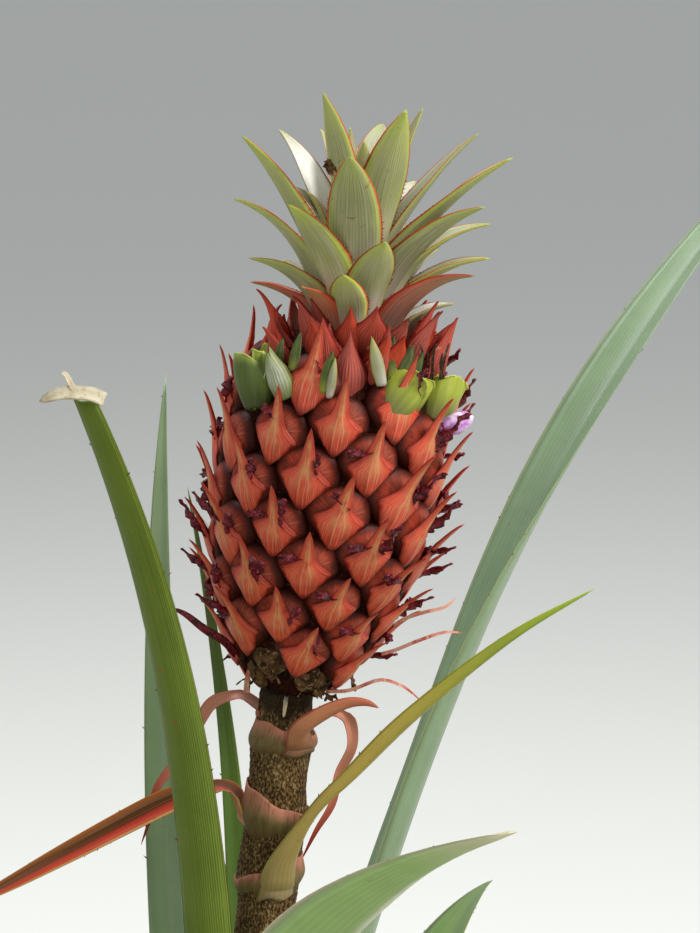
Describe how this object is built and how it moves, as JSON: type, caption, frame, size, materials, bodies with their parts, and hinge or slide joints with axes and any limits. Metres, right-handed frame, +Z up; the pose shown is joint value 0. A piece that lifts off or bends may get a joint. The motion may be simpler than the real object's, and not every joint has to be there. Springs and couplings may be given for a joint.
{
  "type": "pineapple plant",
  "caption": "Pineapple plant in fruit: a rosette of sword leaves round a short trunk, with a stalk that carries a red spiny fruit and its crown, rooted in the ground.",
  "frame": {"origin": "middle of the flat cut under the trunk, at ground level", "axes": "+Z up along the trunk, -Y towards the side the picture shows, +X to its right"},
  "size_m": [1.1254, 1.132, 0.6561],
  "materials": {
    "trunk": "dry leaf bases, brown and grey, rough",
    "peduncle": "brown stalk mottled with cream and black scurf, satin",
    "leaf": "waxy green leaf with fine parallel lines, satin gloss",
    "stalk_leaf": "thin coral red to yellow green leaf, satin",
    "slip": "torn yellow green shoot, matt",
    "fruit": "coral red bracts over maroon glossy domes, dark gaps",
    "crown": "grey green scaly leaves with thin red margins, matt"
  },
  "bodies": {
    "root": {"trunk": "trunk", "peduncle": "peduncle", "leaf_01": "leaf", "leaf_02": "leaf", "leaf_03": "leaf", "leaf_04": "leaf", "leaf_05": "leaf", "leaf_06": "leaf", "leaf_07": "leaf", "leaf_08": "leaf", "leaf_09": "leaf", "leaf_10": "leaf", "leaf_11": "leaf", "leaf_12": "leaf", "leaf_13": "leaf", "leaf_14": "leaf", "leaf_15": "leaf", "leaf_16": "leaf", "leaf_17": "leaf", "leaf_18": "leaf", "leaf_19": "leaf", "leaf_20": "leaf", "leaf_21": "leaf", "leaf_22": "leaf", "leaf_23": "leaf", "leaf_24": "leaf", "leaf_25": "leaf", "leaf_26": "leaf", "leaf_27": "leaf", "leaf_28": "leaf", "leaf_29": "leaf", "leaf_30": "leaf", "leaf_31": "leaf", "leaf_32": "leaf", "leaf_33": "leaf", "leaf_34": "leaf", "stalk_leaf_long_right": "stalk_leaf", "stalk_leaf_red_left": "stalk_leaf", "stalk_leaf_clasp_right": "stalk_leaf", "stalk_leaf_pink_left": "stalk_leaf", "stalk_leaf_pink_right": "stalk_leaf", "slip_left": "slip", "slip_right": "slip", "slip_far_right": "slip", "crown": "crown", "fruit": "fruit"}
  },
  "joints": []
}
